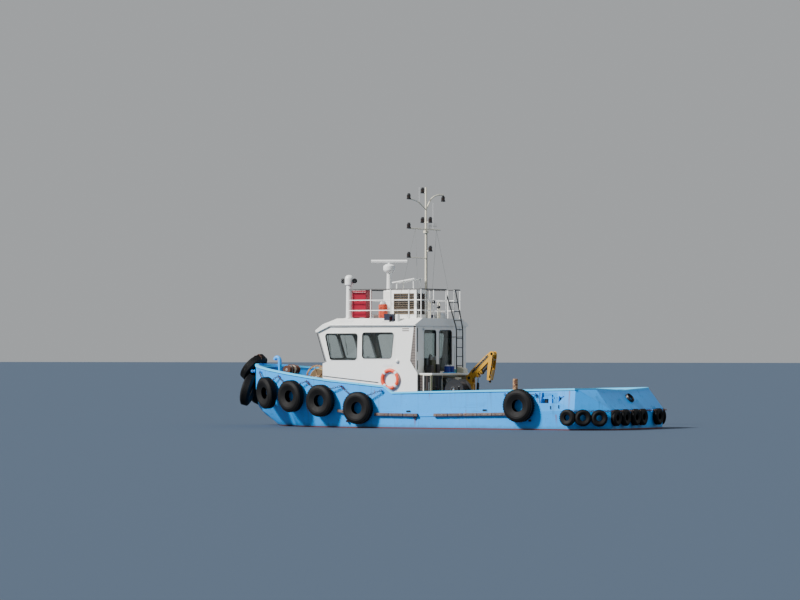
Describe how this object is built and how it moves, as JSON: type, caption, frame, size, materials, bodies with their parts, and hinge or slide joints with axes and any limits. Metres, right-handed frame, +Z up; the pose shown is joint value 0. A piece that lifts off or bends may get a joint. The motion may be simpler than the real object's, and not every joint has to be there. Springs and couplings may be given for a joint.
{
  "type": "small harbour tugboat",
  "caption": "Small hard-chine harbour tug, whole hull, with wheelhouse, roof mast, knuckle-boom crane, tow bitt, tyre fenders, screws and rudders.",
  "frame": {"origin": "on the centreline at the waterline, amidships, under the aft end of the wheelhouse", "axes": "+X to the bow, +Y to port, +Z up"},
  "size_m": [15.3399, 5.91, 9.65],
  "materials": {
    "hull_blue": "satin paint, worn",
    "house_white": "satin paint",
    "mast_cream": "satin paint, worn",
    "tyre_rubber": "worn matt rubber",
    "belting_rubber": "scuffed",
    "shaft_steel": "bright",
    "screw_bronze": "polished by water",
    "window_glass": "lightly tinted",
    "interior_grey": "matt",
    "seat_black": "worn",
    "crane_yellow": "worn paint",
    "black_paint": "satin",
    "rod_chrome": "polished",
    "locker_red": "gloss",
    "buoy_orange": "faded",
    "box_blue": "moulded",
    "rust_iron": "rusted",
    "rope_tan": "laid rope"
  },
  "bodies": {
    "boat": {"hull": "hull_blue", "bulwark_bow": "hull_blue", "bulwark_port": "hull_blue", "bulwark_starboard": "hull_blue", "bulwark_stern": "hull_blue", "belting_port": "belting_rubber", "belting_starboard": "belting_rubber", "shaft_port": "shaft_steel", "shaft_starboard": "shaft_steel", "house_front": "house_white", "house_port": "house_white", "house_starboard": "house_white", "house_aft": "house_white", "house_roof": "house_white", "house_floor": "interior_grey", "glass_front": "window_glass", "glass_port": "window_glass", "glass_starboard": "window_glass", "glass_aft": "window_glass", "helm_console": "interior_grey", "helm_seat": "seat_black", "aft_casing": "house_white", "casing_boxes": "box_blue", "roof_rail": "house_white", "roof_ladder": "black_paint", "vent_housing": "house_white", "radar_pedestal": "house_white", "dome_post": "house_white", "roof_locker": "locker_red", "roof_buoy": "buoy_orange", "mast": "mast_cream", "crane_foot": "black_paint", "winch_frame": "black_paint", "tow_bitt": "mast_cream", "bow_post": "hull_blue", "windlass": "rust_iron", "rope_reel": "rope_tan", "lifebuoy": "locker_red", "tyres_forward_port": "tyre_rubber", "tyres_forward_starboard": "tyre_rubber", "tyre_aft_port": "tyre_rubber", "tyre_aft_starboard": "tyre_rubber", "tyres_stem": "tyre_rubber", "tyres_stern": "tyre_rubber"},
    "propeller_port": {"propeller_port": "screw_bronze"},
    "propeller_starboard": {"propeller_starboard": "screw_bronze"},
    "rudder_port": {"rudder_port": "hull_blue"},
    "rudder_starboard": {"rudder_starboard": "hull_blue"},
    "door": {"door_starboard": "house_white"},
    "radar_scanner": {"radar_scanner": "house_white"},
    "crane_column": {"crane_column": "black_paint"},
    "crane_boom": {"crane_boom": "crane_yellow"},
    "crane_outer": {"crane_outer": "crane_yellow"},
    "lift_cylinder": {"lift_cylinder": "black_paint"},
    "lift_rod": {"lift_rod": "rod_chrome"},
    "fold_cylinder": {"fold_cylinder": "crane_yellow"},
    "fold_rod": {"fold_rod": "rod_chrome"},
    "winch_drum": {"winch_drum": "rust_iron"}
  },
  "joints": [
    {"name": "propeller_port_spin", "type": "hinge", "parent": "boat", "child": "propeller_port", "pos_m": [-5.165, 1.1, -1.15], "axis": [1, 0, 0], "continuous": true},
    {"name": "propeller_starboard_spin", "type": "hinge", "parent": "boat", "child": "propeller_starboard", "pos_m": [-5.165, -1.1, -1.15], "axis": [1, 0, 0], "continuous": true},
    {"name": "rudder_port_turn", "type": "hinge", "parent": "boat", "child": "rudder_port", "pos_m": [-5.9, 1.1, -0.68], "axis": [0, 0, 1], "range_deg": [-35, 35]},
    {"name": "rudder_starboard_turn", "type": "hinge", "parent": "boat", "child": "rudder_starboard", "pos_m": [-5.9, -1.1, -0.68], "axis": [0, 0, 1], "range_deg": [-35, 35]},
    {"name": "door_swing", "type": "hinge", "parent": "boat", "child": "door", "pos_m": [0.675, -1.723, 1.5], "axis": [0, 0, 1], "range_deg": [0, 110]},
    {"name": "radar_spin", "type": "hinge", "parent": "boat", "child": "radar_scanner", "pos_m": [1.83, 0, 5.45], "axis": [0, 0, 1], "continuous": true},
    {"name": "crane_slew", "type": "hinge", "parent": "boat", "child": "crane_column", "pos_m": [-1.05, -0.46, 0.87], "axis": [0, 0, -1], "range_deg": [-90, 90]},
    {"name": "crane_luff", "type": "hinge", "parent": "crane_column", "child": "crane_boom", "pos_m": [-1.05, -0.46, 1.64], "axis": [0, 1, 0], "range_deg": [-35, 30]},
    {"name": "crane_fold", "type": "hinge", "parent": "crane_boom", "child": "crane_outer", "pos_m": [-1.90568, -0.46, 2.43794], "axis": [0, 1, 0], "range_deg": [0, 90]},
    {"name": "lift_cylinder_tilt", "type": "hinge", "parent": "crane_column", "child": "lift_cylinder", "pos_m": [-1.3, -0.46, 0.98], "axis": [0, 1, 0], "range_deg": [-3, 3]},
    {"name": "lift_rod_slide", "type": "slide", "parent": "lift_cylinder", "child": "lift_rod", "axis": [-0.0682, 0, 0.9977], "range_m": [-0.18, 0.155]},
    {"name": "fold_cylinder_tilt", "type": "hinge", "parent": "crane_boom", "child": "fold_cylinder", "pos_m": [-1.48724, -0.46, 1.80162], "axis": [0, 1, 0], "range_deg": [-1, 2]},
    {"name": "fold_rod_slide", "type": "slide", "parent": "fold_cylinder", "child": "fold_rod", "axis": [-0.7221, 0, 0.6917], "range_m": [0, 0.295]},
    {"name": "winch_turn", "type": "hinge", "parent": "boat", "child": "winch_drum", "pos_m": [-1.5, 1.175, 1.27], "axis": [0, 1, 0], "continuous": true}
  ],
  "couplings": [
    {"joint": "rudder_starboard_turn", "follows": "rudder_port_turn", "ratio": 1},
    {"joint": "lift_cylinder_tilt", "follows": "crane_luff", "ratio": 0.07},
    {"joint": "lift_rod_slide", "follows": "crane_luff", "m_per_rad": 0.2904},
    {"joint": "fold_cylinder_tilt", "follows": "crane_fold", "ratio": 0.01},
    {"joint": "fold_rod_slide", "follows": "crane_fold", "m_per_rad": 0.185}
  ]
}
